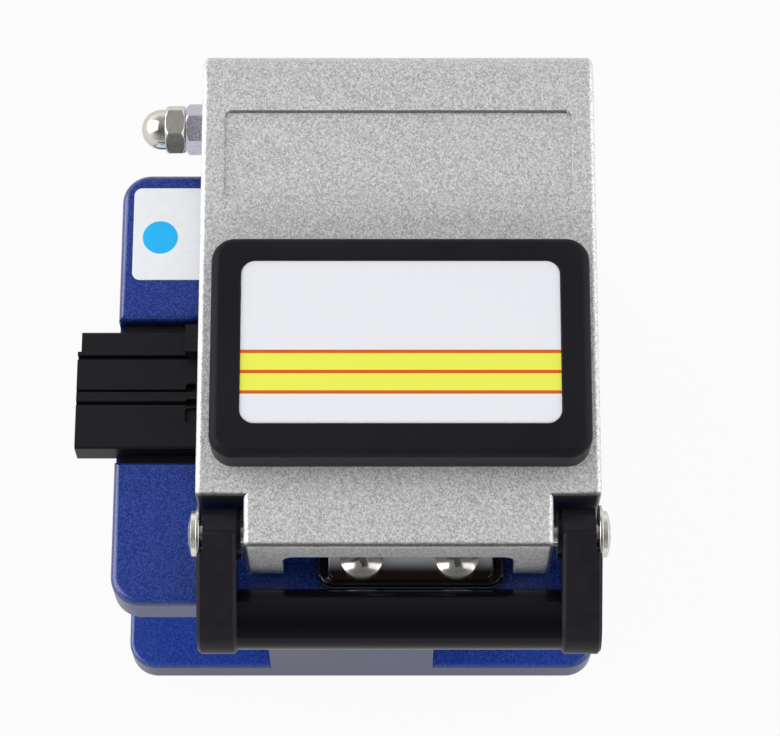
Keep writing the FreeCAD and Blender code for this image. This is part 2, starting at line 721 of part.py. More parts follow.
def make_acorn_nut():
    inner = -arm_half - nut_thick - 0.15
    dome_base = inner - nut_thick
    dome_radius = 2.5
    straight = 0.6
    nut = hexagon_nut(nut_corners, dome_base, inner, 3.5)
    dome = rod_x(dome_base - straight, dome_base + 0.2, hinge_y, hinge_z, dome_radius)
    ball = Part.makeSphere(dome_radius, Vector(dome_base - straight, hinge_y, hinge_z))
    nut = nut.fuse(dome).fuse(ball)
    return nut.cut(rod_x(-29.7, inner, hinge_y, hinge_z, shaft_radius + fixed_gap)).removeSplitter()


def washer_faces():
    """For each side: its sign and where the washer's inner face lies."""
    for side in (-1, 1):
        yield side, side * (hub_outer + washer_gap) + bail_shift


def make_pivot_washers():
    washers = []
    for side, inner in washer_faces():
        x0, x1 = sorted((inner, inner + side * washer_thick))
        ring = rod_x(x0, x1, pivot_y, pivot_z, washer_radius)
        washers.append(ring.cut(rod_x(x0, x1, pivot_y, pivot_z, shaft_radius + fixed_gap)))
    return Part.makeCompound(washers)


def make_pivot_screws():
    screws = []
    for side, inner in washer_faces():
        seat = inner + side * washer_thick
        screw = pan_screw(2.75, pivot_head_height, shaft_radius, abs(seat) - 12.6)
        screws.append(placed(screw, Vector(seat, pivot_y, pivot_z), ALONG_X * side))
    return Part.makeCompound(screws)


# ---- bail --------------------------------------------------------------------------------

def make_press_bail():
    """A bar between two links, each on a hub that is wider than the link on the inside."""
    bail = rod_x(-bail_inner - 1, bail_inner + 1, bar_y, bar_z, bar_radius)
    for side in (-1, 1):
        x0, x1 = sorted((side * bail_inner, side * bail_outer))
        link = link_x((pivot_y, pivot_z), link_radius, (bar_y, bar_z), bail_end_radius, x0, x1)
        link = link.cut(block(x0, x1, link_start, pivot_y + 9, bar_z - 9, pivot_z + 9))
        link = link.makeChamfer(0.4, [e for e in link.Edges if e.BoundBox.XLength < 1e-3])
        x0, x1 = sorted((side * hub_inner, side * hub_outer))
        hub = rod_x(x0, x1, pivot_y, pivot_z, hub_radius)
        x0, x1 = sorted((side * hub_outer, side * (bail_outer + 1)))
        link = link.cut(rod_x(x0, x1, pivot_y, pivot_z, washer_radius + 0.3)).fuse(hub)
        bail = bail.fuse(link)
    bail = bail.cut(rod_x(-arm_half, arm_half, pivot_y, pivot_z, shaft_radius + running_gap))
    bail.translate(Vector(bail_shift, 0, 0))
    return bail.removeSplitter()


def main():
    parts = {
        "base_plate": make_base_plate(),
        "rubber_feet": make_rubber_feet(),
        "rear_column": make_rear_column(),
        "body_screws": make_body_screws(),
        "deck": make_deck(),
        "slide_rods": make_slide_rods(),
        "slot_plate": make_slot_plate(),
        "slot_plate_screws": make_slot_plate_screws(),
        "fibre_guide": make_fibre_guide(),
        "guide_screws": make_guide_screws(),
        "torsion_spring": make_torsion_spring(),
        "shelf_label": make_shelf_label(),
        "slide_carriage": make_slide_carriage(),
        "slide_bushes": make_slide_bushes(),
        "thumb_tab": make_thumb_tab(),
        "thumb_screws": make_thumb_screws(),
        "blade_bracket": make_blade_bracket(),
        "bracket_screws": make_bracket_screws(),
        "blade_screw": make_blade_screw(),
        "round_blade": make_round_blade(),
        "arm_cover": make_arm_cover(),
        "label_bezel": make_label_bezel(),
        "label_plate": make_label_plate(),
        "anvil_carrier": make_anvil_carrier(),
        "anvil": make_anvil(),
        "hinge_shaft": make_hinge_shaft(),
        "jam_nut": make_jam_nut(),
        "acorn_nut": make_acorn_nut(),
        "pivot_washers": make_pivot_washers(),
        "pivot_screws": make_pivot_screws(),
        "press_bail": make_press_bail(),
    }
    for side in clamp_spans:
        parts["lower_clamp_" + side] = make_lower_clamp(side)
        parts["lower_pad_" + side] = make_lower_pad(side)
        parts["upper_clamp_" + side] = make_upper_clamp(side)
        parts["upper_pad_" + side] = make_upper_pad(side)
    middle_x = (guide_left + base_right) / 2
    middle_y = (bar_y - bail_end_radius + arm_rear) / 2
    os.makedirs("parts", exist_ok=True)
    for name, shape in parts.items():
        shape.translate(Vector(-middle_x, -middle_y, 0))
        shape.exportStep("parts/" + name + ".step")
        print(name, len(shape.Solids), shape.isValid(), round(shape.Volume, 1))


main()
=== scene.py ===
import json
import math
import bmesh
import bpy
from mathutils import Matrix, Vector


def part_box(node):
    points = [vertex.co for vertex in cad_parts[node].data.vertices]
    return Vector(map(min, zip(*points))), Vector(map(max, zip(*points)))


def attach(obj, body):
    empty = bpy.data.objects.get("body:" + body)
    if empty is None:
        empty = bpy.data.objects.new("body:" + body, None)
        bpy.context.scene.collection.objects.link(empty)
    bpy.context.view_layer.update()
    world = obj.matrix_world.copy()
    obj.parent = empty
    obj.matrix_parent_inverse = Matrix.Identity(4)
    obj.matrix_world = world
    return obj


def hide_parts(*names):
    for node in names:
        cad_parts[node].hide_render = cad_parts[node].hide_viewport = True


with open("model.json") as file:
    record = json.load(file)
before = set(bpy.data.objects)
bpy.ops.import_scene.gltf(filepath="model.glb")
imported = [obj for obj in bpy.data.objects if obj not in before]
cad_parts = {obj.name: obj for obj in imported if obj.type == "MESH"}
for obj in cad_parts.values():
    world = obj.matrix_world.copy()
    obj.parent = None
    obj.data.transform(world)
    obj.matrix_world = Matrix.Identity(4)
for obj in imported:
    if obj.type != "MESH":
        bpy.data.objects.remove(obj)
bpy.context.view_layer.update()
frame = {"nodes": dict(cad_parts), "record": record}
mm = 0.001
bodyOf = {node: body for body, nodes in frame["record"]["behaviour"]["bodies"].items() for node in nodes}
print("frame loaded:", len(frame["nodes"]), "nodes")


def addNode(tree, kind, settings=None, **inputs):
    node = tree.nodes.new(kind)
    for name, value in (settings or {}).items():
        setattr(node, name, value)
    for name, value in inputs.items():
        key = int(name[1:]) if name[0] == "i" and name[1:].isdigit() else name.replace("_", " ")
        socket = node.inputs[key]
        for part in value if isinstance(value, list) else [value]:
            if isinstance(part, bpy.types.NodeSocket):
                tree.links.new(part, socket)
            else:
                socket.default_value = part
    return node


def calc(tree, operation, first, second=0.0, third=0.0):
    return addNode(tree, "ShaderNodeMath", {"operation": operation}, i0=first, i1=second,
                   i2=third).outputs[0]


def remap(tree, value, start, end, low, high, **settings):
    return addNode(tree, "ShaderNodeMapRange", settings, Value=value, i1=start, i2=end, i3=low,
                   i4=high).outputs[0]


def axes(tree, vector):
    return addNode(tree, "ShaderNodeSeparateXYZ", Vector=vector).outputs


def noise(tree, place, scale, detail):
    return addNode(tree, "ShaderNodeTexNoise", Vector=place, Scale=scale, Detail=detail).outputs[0]


def scaled(tree, colour, share):
    return addNode(tree, "ShaderNodeVectorMath", {"operation": "SCALE"}, i0=colour, Scale=share).outputs[0]


def mixed(tree, share, first, second):
    return addNode(tree, "ShaderNodeMix", {"data_type": "RGBA"}, i0=share, i6=first, i7=second).outputs[2]


def startMaterial(name, colour, rough, metal=0.0, **extra):  # every pattern reads Object coordinates
    mat = bpy.data.materials.new(name)
    mat.use_nodes = True
    tree = mat.node_tree
    shader = tree.nodes["Principled BSDF"]
    shader.inputs["Base Color"].default_value = (*colour, 1)
    shader.inputs["Roughness"].default_value = rough
    shader.inputs["Metallic"].default_value = metal
    for key, value in extra.items():
        shader.inputs[key.replace("_", " ")].default_value = value
    place = addNode(tree, "ShaderNodeTexCoord").outputs["Object"]
    return mat, tree, shader, place


def ramp(tree, source, stops):
    node = addNode(tree, "ShaderNodeValToRGB", i0=source)
    while len(node.color_ramp.elements) < len(stops):
        node.color_ramp.elements.new(0.5)
    for element, (where, colour) in zip(node.color_ramp.elements, stops):
        element.position = where
        element.color = (*colour, 1)
    return node.outputs["Color"]


def grey(value):
    return (value, value, value)


def shaded(colour, factor):
    return tuple(part * factor for part in colour)


def paint(tree, shader, colour):
    tree.links.new(colour, shader.inputs["Base Color"])


def bumpInto(tree, shader, height, strength, distance):
    bump = addNode(tree, "ShaderNodeBump", Strength=strength, Distance=distance, Height=height)
    tree.links.new(bump.outputs["Normal"], shader.inputs["Normal"])


def cellValue(tree, place, size):
    cells = addNode(tree, "ShaderNodeTexVoronoi", Vector=place, Scale=1 / size)
    return addNode(tree, "ShaderNodeSeparateColor", i0=cells.outputs["Color"]).outputs["Green"]


# wall, side, edge and front are painted light and shade by face direction: lighter upright walls, a painted
# highlight on the side edges, a painted dark front edge, slightly darker front faces
silver = {"flake": 0.18 * mm, "fine": 0.11 * mm, "fineShare": 0.45, "low": 0.31, "high": 0.79,
          "brightest": 0.97, "rough": 0.42, "metal": 0.36, "coat": 0.36, "coatRough": 0.30, "bump": 0.25,
          "wall": 1.42, "front": 0.86, "edge": 0.15, "side": 1.4,
          "crease": 0.30, "creaseAt": (28.20 * mm, 28.36 * mm), "creaseHalf": 20.6 * mm}


def paintedCreaseShade(tree, place):  # painted shade: dark where the recess meets its rear wall
    across, along = axes(tree, place)[:2]
    front, rear = silver["creaseAt"]
    low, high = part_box("arm_cover")
    inLine = calc(tree, "COMPARE", along, (front + rear) / 2, (rear - front) / 2)
    inRow = calc(tree, "COMPARE", across, (low.x + high.x) / 2, silver["creaseHalf"])
    return calc(tree, "MULTIPLY_ADD", calc(tree, "MULTIPLY", inLine, inRow), silver["crease"] - 1, 1.0)


def paintedLightShare(tree, across, along, rise):  # painted light: upright walls lightened, side edges painted bright as a highlight, a painted dark line on the front edge and front faces a little darker
    side, edge = silver["side"], grey(silver["edge"])
    share = remap(tree, calc(tree, "ABSOLUTE", rise), 0.35, 0.85, silver["wall"], 1.0)
    sides = ramp(tree, calc(tree, "ABSOLUTE", across), [
        (0.1, grey(1 / side)), (0.45, grey(1.0)), (0.85, grey(1.0)), (0.99, grey(1 / side))])
    front = ramp(tree, calc(tree, "MULTIPLY", along, -1.0), [
        (0.12, grey(1.0)), (0.6, edge), (0.82, edge), (0.985, grey(silver["front"]))])
    share = calc(tree, "MULTIPLY", share, calc(tree, "MULTIPLY", sides, side))
    return calc(tree, "MULTIPLY", share, front)


def silverPaint():
    mat, tree, shader, place = startMaterial(
        "silver_flake_paint", grey(0.5), silver["rough"], silver["metal"],
        Coat_Weight=silver["coat"], Coat_Roughness=silver["coatRough"])
    coarse = calc(tree, "MULTIPLY", cellValue(tree, place, silver["flake"]), 1 - silver["fineShare"])
    fine = cellValue(tree, place, silver["fine"])
    flakes = calc(tree, "MULTIPLY_ADD", fine, silver["fineShare"], coarse)
    colour = ramp(tree, flakes, [(0.1, grey(silver["low"])), (0.9, grey(silver["high"]))])
    facing = axes(tree, place.node.outputs["Normal"])
    share = calc(tree, "MULTIPLY", paintedLightShare(tree, *facing), paintedCreaseShade(tree, place))
    capped = addNode(tree, "ShaderNodeVectorMath", {"operation": "MINIMUM"}, i0=scaled(tree, colour, share),
                     i1=grey(silver["brightest"])).outputs[0]
    paint(tree, shader, capped)
    bumpInto(tree, shader, flakes, silver["bump"], 0.04 * mm)
    return mat


blue = {"flake": 0.15 * mm, "deep": (0.008, 0.022, 0.160), "mid": (0.012, 0.034, 0.215),
        "spark": (0.030, 0.066, 0.31), "cloud": 0.35, "rough": 0.20, "gloss": 0.46, "edgePolish": 1.0,
        "bump": 0.08}


def bluePaint(name, speck, paintedLift, wall):  # speck is the flakes' contrast; handled edges are polished
    mat, tree, shader, place = startMaterial(name, blue["mid"], blue["rough"], 0.0,
                                             Specular_IOR_Level=blue["gloss"],
                                             Coat_Roughness=blue["rough"])
    cells = cellValue(tree, place, blue["flake"])
    flakes = calc(tree, "MULTIPLY_ADD", cells, speck, (1 - speck) / 2)
    flakes = calc(tree, "MULTIPLY_ADD", noise(tree, place, 90.0, 3.0), blue["cloud"], flakes)
    colour = ramp(tree, flakes, [(0.2, blue["deep"]), (0.65, blue["mid"]), (1.0, blue["spark"])])
    upright = calc(tree, "ABSOLUTE", axes(tree, place.node.outputs["Normal"])[2])
    # painted shade and light: upright faces are darkened by the wall factor, and the whole colour is scaled
    # by the lift
    paint(tree, shader, scaled(tree, colour, remap(tree, upright, 0.35, 0.85, wall * paintedLift, paintedLift)))
    flat, edge = grey(0.0), grey(blue["edgePolish"])
    polish = ramp(tree, upright, [(0.2, flat), (0.4, edge), (0.95, edge), (0.99, flat)])
    tree.links.new(polish, shader.inputs["Coat Weight"])
    bumpInto(tree, shader, cells, blue["bump"], 0.02 * mm)
    return mat


def mouldedPlastic(name, colour, rough, grain, strength, gloss=0.4):
    mat, tree, shader, place = startMaterial(name, colour, rough, Specular_IOR_Level=gloss)
    broad = noise(tree, place, 70.0, 3.0)
    paint(tree, shader, ramp(tree, broad, [(0.35, shaded(colour, 0.85)), (0.7, shaded(colour, 1.2))]))
    tree.links.new(remap(tree, broad, 0.0, 1.0, rough * 0.85, rough * 1.15), shader.inputs["Roughness"])
    bumpInto(tree, shader, noise(tree, place, 1 / grain, 4.0), strength, 0.03 * mm)
    return mat


def anodised(name, colour, rough, lines=0.09 * mm):
    mat, tree, shader, place = startMaterial(name, colour, rough, 0.0, Specular_IOR_Level=0.24)
    stretch = addNode(tree, "ShaderNodeMapping", Vector=place, Scale=(40.0, 1 / lines, 1 / lines))
    milled = noise(tree, stretch.outputs[0], 1.0, 3.0)
    paint(tree, shader, ramp(tree, milled, [(0.3, shaded(colour, 0.75)), (0.7, shaded(colour, 1.3))]))
    bumpInto(tree, shader, milled, 0.12, 0.02 * mm)
    return mat


def brightMetal(name, colour, rough, scratch, strength, metal=1.0):
    mat, tree, shader, place = startMaterial(name, colour, rough, metal)
    wear = noise(tree, place, 1 / scratch, 5.0)
    tree.links.new(remap(tree, wear, 0.3, 0.7, rough * 0.7, rough * 1.5), shader.inputs["Roughness"])
    paint(tree, shader, ramp(tree, wear, [(0.3, shaded(colour, 0.9)), (0.7, colour)]))
    bumpInto(tree, shader, wear, strength, 0.02 * mm)
    return mat


def softRubber(name, colour):
    mat, tree, shader, place = startMaterial(name, colour, 0.72, Specular_IOR_Level=0.3)
    dusty = tuple(part * 1.6 + 0.01 for part in colour)
    paint(tree, shader, ramp(tree, noise(tree, place, 250.0, 4.0), [(0.4, colour), (0.8, dusty)]))
    bumpInto(tree, shader, noise(tree, place, 3500.0, 5.0), 0.3, 0.04 * mm)
    return mat


bail = {"link": (0.0120, 0.0108, 0.0145), "linkRough": 0.34, "linkWidth": 4.7 * mm,
        "bar": (0.0040, 0.0034, 0.0055), "barRough": 0.18, "gloss": 0.20}


def bailPlastic():  # the grip between the links is smoother and blacker than the links
    low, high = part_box("press_bail")
    middle, inner = (low.x + high.x) / 2, (high.x - low.x) / 2 - bail["linkWidth"]
    mat, tree, shader, place = startMaterial("bail_black_plastic", bail["link"], bail["linkRough"],
                                             Specular_IOR_Level=bail["gloss"])
    across = calc(tree, "SUBTRACT", axes(tree, place)[0], middle)
    onLink = calc(tree, "GREATER_THAN", calc(tree, "ABSOLUTE", across), inner)
    wear = noise(tree, place, 600.0, 5.0)
    link = ramp(tree, wear, [(0.3, shaded(bail["link"], 0.85)), (0.7, shaded(bail["link"], 1.15))])
    paint(tree, shader, mixed(tree, onLink, (*bail["bar"], 1), link))
    rough = remap(tree, onLink, 0.0, 1.0, bail["barRough"], bail["linkRough"])
    tree.links.new(rough, shader.inputs["Roughness"])
    bumpInto(tree, shader, wear, 0.06, 0.02 * mm)
    return mat


panel = {"dark": (0.026, 0.015, 0.013), "light": (0.86, 0.86, 0.96), "fade": (1.7 * mm, 3.7 * mm),
         "rough": 0.14, "metal": 0.25}


def slotPanelPaintedReflection():  # painted reflection: the middle of the slot plate is painted bright towards the blade and dark at its front, for light and shade under the arm
    mat, tree, shader, place = startMaterial("panel_painted_reflection", panel["dark"], panel["rough"],
                                             panel["metal"])
    start, end = (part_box("slot_plate")[0].y + step for step in panel["fade"])
    share = remap(tree, axes(tree, place)[1], start, end, 0.0, 1.0, interpolation_type="SMOOTHSTEP")
    paint(tree, shader, ramp(tree, share, [(0.0, panel["dark"]), (1.0, panel["light"])]))
    bumpInto(tree, shader, noise(tree, place, 1200.0, 3.0), 0.02, 0.02 * mm)
    return mat


finish = {
    "silver": silverPaint(),
    "blue": bluePaint("blue_flake_paint", 1.0, 1.0, 0.55),
    # the base plate's copy: calmer flakes, the colour lightened as painted light and its walls darkened
    # more as painted shade
    "calmBluePaintedLight": bluePaint("calm_blue_painted_light", 0.5, 1.32, 0.31),
    "bezel": mouldedPlastic("bezel_black_plastic", (0.0092, 0.0082, 0.0120), 0.42, 0.16 * mm, 0.55, 0.13),
    "bail": bailPlastic(),
    "tab": mouldedPlastic("tab_black_plastic", (0.014, 0.014, 0.016), 0.45, 0.12 * mm, 0.2, 0.35),
    "gloss": mouldedPlastic("gloss_black_plate", (0.006, 0.005, 0.006), 0.06, 0.6 * mm, 0.02, 0.8),
    "guide": anodised("black_anodised_metal", (0.0055, 0.0050, 0.0075), 0.40),
    "carriage": anodised("dark_anodised_metal", (0.04, 0.04, 0.045), 0.38),
    "panel": slotPanelPaintedReflection(),
    "nickel": brightMetal("bright_nickel", (0.84, 0.82, 0.74), 0.15, 0.25 * mm, 0.02, 0.92),
    "satin": brightMetal("satin_nickel", (0.95, 0.93, 0.86), 0.15, 0.2 * mm, 0.02, 0.78),
    "zinc": brightMetal("blue_zinc", (0.72, 0.69, 0.80), 0.26, 0.15 * mm, 0.1, 0.86),
    "steel": brightMetal("ground_steel", (0.58, 0.58, 0.60), 0.18, 0.12 * mm, 0.08),
    "spring": brightMetal("spring_wire", (0.42, 0.42, 0.44), 0.25, 0.1 * mm, 0.1),
    "bronze": brightMetal("sintered_bronze", (0.50, 0.30, 0.12), 0.4, 0.08 * mm, 0.3),
    "carbide": brightMetal("ground_carbide", (0.36, 0.36, 0.38), 0.16, 0.1 * mm, 0.06),
    "rubber": softRubber("black_rubber", (0.014, 0.014, 0.015)),
}
print("finishes made:", len(finish))


def smoothByAngle(mesh, degrees=32):
    for polygon in mesh.polygons:
        polygon.use_smooth = True
    mesh.set_sharp_from_angle(angle=math.radians(degrees))


def asPiece(name, mesh, mat):
    piece = bpy.data.objects.new(name, mesh)
    bpy.context.scene.collection.objects.link(piece)
    mesh.materials.clear()
    mesh.materials.append(mat)
    return piece


def applyModifiers(piece):
    bpy.context.view_layer.update()
    solved = piece.evaluated_get(bpy.context.evaluated_depsgraph_get())
    mesh = bpy.data.meshes.new_from_object(solved)
    piece.modifiers.clear()
    piece.data = mesh
    return piece


def breakEdges(piece, width, steps=2, degrees=32):
    smoothByAngle(piece.data, degrees)
    if width:
        bevel = piece.modifiers.new("edge", "BEVEL")
        bevel.width = width
        bevel.segments = steps
        bevel.limit_method = "ANGLE"
        bevel.angle_limit = math.radians(degrees)
        bevel.use_clamp_overlap = True
        bevel.harden_normals = False
    weighted = piece.modifiers.new("normals", "WEIGHTED_NORMAL")
    weighted.keep_sharp = True
    return applyModifiers(piece)


def dressNode(node, mat, width=0.0):  # facets joined, sharp edges broken, curves smooth
    mesh = frame["nodes"][node].data.copy()
    work = bmesh.new()
    work.from_mesh(mesh)
    bmesh.ops.remove_doubles(work, verts=work.verts, dist=1e-6)
    bmesh.ops.dissolve_limit(work, angle_limit=math.radians(0.6), verts=work.verts, edges=work.edges)
    work.to_mesh(mesh)
    work.free()
    return breakEdges(asPiece(node + "_look", mesh, mat), width)


def settle(piece, node):
    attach(piece, bodyOf[node])
    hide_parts(node)
    return piece


plate = {"edge": 0.08 * mm, "raised": 0.35 * mm}


def addSlotPlate():  # its raised middle carries the painted reflection and is brighter than its rim
    piece = dressNode("slot_plate", finish["gloss"], plate["edge"])
    piece.data.materials.append(finish["panel"])
    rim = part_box("slot_plate")[1].z - plate["raised"]
    for polygon in piece.data.polygons:
        if min(piece.data.vertices[corner].co.z for corner in polygon.vertices) > rim:
            polygon.material_index = 1
    settle(piece, "slot_plate")


arm = {"edge": 0.28 * mm, "notchWall": -20.04 * mm, "notchDepth": 0.2 * mm, "notchInner": 18.4 * mm}


def addArm():  # painted shade: the front-facing walls of the bail's notches get the black plastic finish
    piece = dressNode("arm_cover", finish["silver"], arm["edge"])
    piece.data.materials.append(finish["tab"])
    low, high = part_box("arm_cover")
    middle = (low.x + high.x) / 2
    for polygon in piece.data.polygons:
        fromWall = abs(polygon.center.y - arm["notchWall"])
        fromMiddle = abs(polygon.center.x - middle)
        if polygon.normal.y < -0.8 and fromWall < arm["notchDepth"] and fromMiddle > arm["notchInner"]:
            polygon.material_index = 1
    settle(piece, "arm_cover")


dressed = {  # finish, and the width of its broken edges in mm
    "label_bezel": ("bezel", 0.1), "press_bail": ("bail", 0.12),
    "deck": ("blue", 0.3), "base_plate": ("calmBluePaintedLight", 0.1), "rear_column": ("blue", 0.1),
    "fibre_guide": ("guide", 0.06), "thumb_tab": ("tab", 0.1),
    "slide_carriage": ("carriage", 0.1), "blade_bracket": ("steel", 0.08),
    "slide_rods": ("steel", 0.0), "slide_bushes": ("bronze", 0.05), "hinge_shaft": ("steel", 0.1),
    "anvil": ("steel", 0.08), "anvil_carrier": ("guide", 0.1), "pivot_washers": ("nickel", 0.08),
    "lower_clamp_left": ("guide", 0.08), "lower_clamp_right": ("guide", 0.08),
    "upper_clamp_left": ("guide", 0.08), "upper_clamp_right": ("guide", 0.08),
    "lower_pad_left": ("rubber", 0.08), "lower_pad_right": ("rubber", 0.08),
    "upper_pad_left": ("rubber", 0.08), "upper_pad_right": ("rubber", 0.08),
    "jam_nut": ("zinc", 0.06), "acorn_nut": ("nickel", 0.06), "round_blade": ("carbide", 0.0),
}
for node, (kind, width) in dressed.items():
    settle(dressNode(node, finish[kind], width * mm), node)
addArm()
addSlotPlate()
print("nodes dressed:", len(dressed) + 2)


def newTree(name, inputs):  # Geometry Nodes for what repeats
    tree = bpy.data.node_groups.new(name, "GeometryNodeTree")
    sockets = {"Geometry": "Geometry", **inputs, "Finish": "Material"}
    for label, kind in sockets.items():
        tree.interface.new_socket(label, in_out="INPUT", socket_type="NodeSocket" + kind)
    tree.interface.new_socket("Geometry", in_out="OUTPUT", socket_type="NodeSocketGeometry")
    return tree, tree.nodes.new("NodeGroupInput").outputs


def endTree(tree, given, geometry):
    real = addNode(tree, "GeometryNodeRealizeInstances", Geometry=geometry).outputs[0]
    painted = addNode(tree, "GeometryNodeSetMaterial", Geometry=real, Material=given["Finish"]).outputs[0]
    addNode(tree, "NodeGroupOutput", Geometry=painted)


def moved(tree, geometry, at=(0, 0, 0), turn=(0, 0, 0), scale=(1, 1, 1)):
    return addNode(tree, "GeometryNodeTransform", Geometry=geometry, Translation=at, Rotation=turn,
                   Scale=scale).outputs[0]


def xyz(tree, x=0.0, y=0.0, z=0.0):
    return addNode(tree, "ShaderNodeCombineXYZ", X=x, Y=y, Z=z).outputs[0]


def growTree(piece, tree, **values):
    grower = piece.modifiers.new("grow", "NODES")
    grower.node_group = tree
    keys = {item.name: item.identifier for item in tree.interface.items_tree if item.in_out == "INPUT"}
    for name, value in values.items():
        grower[keys[name.replace("_", " ")]] = value
    return applyModifiers(piece)


def pointPiece(name, places, mat, facing=None):
    mesh = bpy.data.meshes.new(name)
    mesh.from_pydata([tuple(place) for place in places], [], [])
    if facing:
        data = mesh.attributes.new("facing", "FLOAT_VECTOR", "POINT").data
        for item, direction in zip(data, facing):
            item.vector = direction
    return asPiece(name, mesh, mat)


def looseBoxes(node):  # the corner pair of each separate solid in a node
    work = bmesh.new()
    work.from_mesh(frame["nodes"][node].data)
    bmesh.ops.remove_doubles(work, verts=work.verts, dist=1e-6)
    left = set(work.verts)
    boxes = []
    while left:
        queue = [left.pop()]
        island = []
        while queue:
            vert = queue.pop()
            island.append(vert.co.copy())
            for edge in vert.link_edges:
                other = edge.other_vert(vert)
                if other in left:
                    left.remove(other)
                    queue.append(other)
        boxes.append((Vector(map(min, zip(*island))), Vector(map(max, zip(*island)))))
    work.free()
    return sorted(boxes, key=lambda box: tuple(box[0]))


screwForm = {"sides": 40, "domeSides": (64, 48), "shankSides": 24, "crown": 0.46, "wing": 0.70,
             "wingWidth": 0.20, "wingTip": 0.45, "recess": 0.66, "edge": 0.08 * mm, "spin": (-0.2, 0.5),
             "seed": 7}


def screwTree():
    inputs = dict.fromkeys(("Head Radius", "Head Height", "Shank Radius", "Length"), "Float")
    tree, given = newTree("panScrews", {**inputs, "Seed": "Int"})
    radius, height = given["Head Radius"], given["Head Height"]
    rise = calc(tree, "MULTIPLY", height, screwForm["crown"])
    squares = calc(tree, "MULTIPLY_ADD", rise, rise, calc(tree, "MULTIPLY", radius, radius))
    domeRadius = calc(tree, "DIVIDE", squares, calc(tree, "MULTIPLY", rise, 2.0))
    barrel = addNode(tree, "GeometryNodeMeshCylinder", Vertices=screwForm["sides"], Radius=radius,
                     Depth=height).outputs["Mesh"]
    barrel = moved(tree, barrel, xyz(tree, z=calc(tree, "MULTIPLY", height, 0.5)))
    segments, rings = screwForm["domeSides"]
    ball = addNode(tree, "GeometryNodeMeshUVSphere", Segments=segments, Rings=rings, Radius=domeRadius)
    ball = moved(tree, ball.outputs["Mesh"], xyz(tree, z=calc(tree, "SUBTRACT", height, domeRadius)))
    head = addNode(tree, "GeometryNodeMeshBoolean", {"operation": "INTERSECT", "solver": "EXACT"},
                   i1=[barrel, ball]).outputs["Mesh"]
    wing = addNode(tree, "GeometryNodeMeshCone", Vertices=4, Radius_Top=1.0,
                   Radius_Bottom=screwForm["wingTip"], Depth=1.0).outputs["Mesh"]
    wing = moved(tree, wing, turn=(0, 0, math.pi / 4))
    deep = calc(tree, "MULTIPLY", height, screwForm["recess"])
    reach = calc(tree, "MULTIPLY", radius, screwForm["wing"] * math.sqrt(2))
    width = calc(tree, "MULTIPLY", radius, screwForm["wingWidth"] * math.sqrt(2))
    wing = moved(tree, wing, xyz(tree, z=calc(tree, "SUBTRACT", height, deep)),
                 scale=xyz(tree, reach, width, calc(tree, "MULTIPLY", deep, 1.2)))
    for turn in (0.0, math.pi / 2):
        head = addNode(tree, "GeometryNodeMeshBoolean", {"operation": "DIFFERENCE", "solver": "EXACT"},
                       i0=head, i1=moved(tree, wing, turn=(0, 0, turn))).outputs["Mesh"]
    shank = addNode(tree, "GeometryNodeMeshCylinder", Vertices=screwForm["shankSides"],
                    Radius=given["Shank Radius"], Depth=given["Length"]).outputs["Mesh"]
    shank = moved(tree, shank, xyz(tree, z=calc(tree, "MULTIPLY", given["Length"], -0.49)))
    screw = addNode(tree, "GeometryNodeJoinGeometry", Geometry=[head, shank]).outputs[0]
    facing = addNode(tree, "GeometryNodeInputNamedAttribute", {"data_type": "FLOAT_VECTOR"},
                     Name="facing").outputs["Attribute"]
    turn = addNode(tree, "FunctionNodeAlignRotationToVector", {"axis": "Z"}, Vector=facing)
    placed = addNode(tree, "GeometryNodeInstanceOnPoints", Points=given["Geometry"], Instance=screw,
                     Rotation=turn.outputs[0]).outputs[0]
    least, most = screwForm["spin"]
    spin = addNode(tree, "FunctionNodeRandomValue", {"data_type": "FLOAT"}, i2=least, i3=most,
                   Seed=given["Seed"]).outputs[1]
    placed = addNode(tree, "GeometryNodeRotateInstances", Instances=placed, Rotation=xyz(tree, z=spin),
                     Local_Space=True).outputs[0]
    endTree(tree, given, placed)
    return tree


screws = {
    "slot_plate_screws": {"facing": (0, 0, 1), "head": 1.7 * mm, "shank": 1.25 * mm},
    "thumb_screws": {"facing": (0, 0, 1), "head": 1.2 * mm, "shank": 1.0 * mm},
    "bracket_screws": {"facing": (0, 0, 1), "head": 1.1 * mm, "shank": 1.0 * mm},
    "body_screws": {"facing": (0, 0, -1), "head": 2.2 * mm, "shank": 1.5 * mm},
    "guide_screws": {"facing": (0, 0, -1), "head": 1.0 * mm, "shank": 1.0 * mm},
    "blade_screw": {"facing": (1, 0, 0), "head": 1.7 * mm, "shank": 1.5 * mm},
    "pivot_screws": {"facing": (1, 0, 0), "head": 1.1 * mm, "shank": 1.5 * mm, "outwards": True},
}


def addScrews():
    tree = screwTree()
    for number, (node, form) in enumerate(screws.items()):
        boxes = looseBoxes(node)
        whole = sum((low + high for low, high in boxes), Vector()) / (2 * len(boxes))
        seats, facings = [], []
        for low, high in boxes:
            facing = Vector(form["facing"])
            middle, half = (low + high) / 2, (high - low) / 2
            if form.get("outwards") and (middle - whole).dot(facing) < 0:
                facing = -facing
            reach = abs(half.dot(facing))
            seats.append(middle + facing * (reach - form["head"]))
            facings.append(facing)
        radius = sorted(half)[1 if reach > max(half) - 1e-7 else -1]  # some are wider than long
        points = pointPiece(node + "_look", seats, finish["satin"], facings)
        piece = growTree(points, tree, Head_Radius=radius, Head_Height=form["head"],
                         Shank_Radius=form["shank"], Length=2 * reach - form["head"],
                         Seed=screwForm["seed"] + number, Finish=finish["satin"])
        settle(breakEdges(piece, screwForm["edge"]), node)


addScrews()
print("screws made")

spring = {"turns": 4, "upperLean": 17.5, "lowerLean": 25.0, "upperLeg": 11.0 * mm, "lowerLeg": 7.4 * mm,
          "wire": 0.45 * mm, "wireSides": 16, "perTurn": 40}


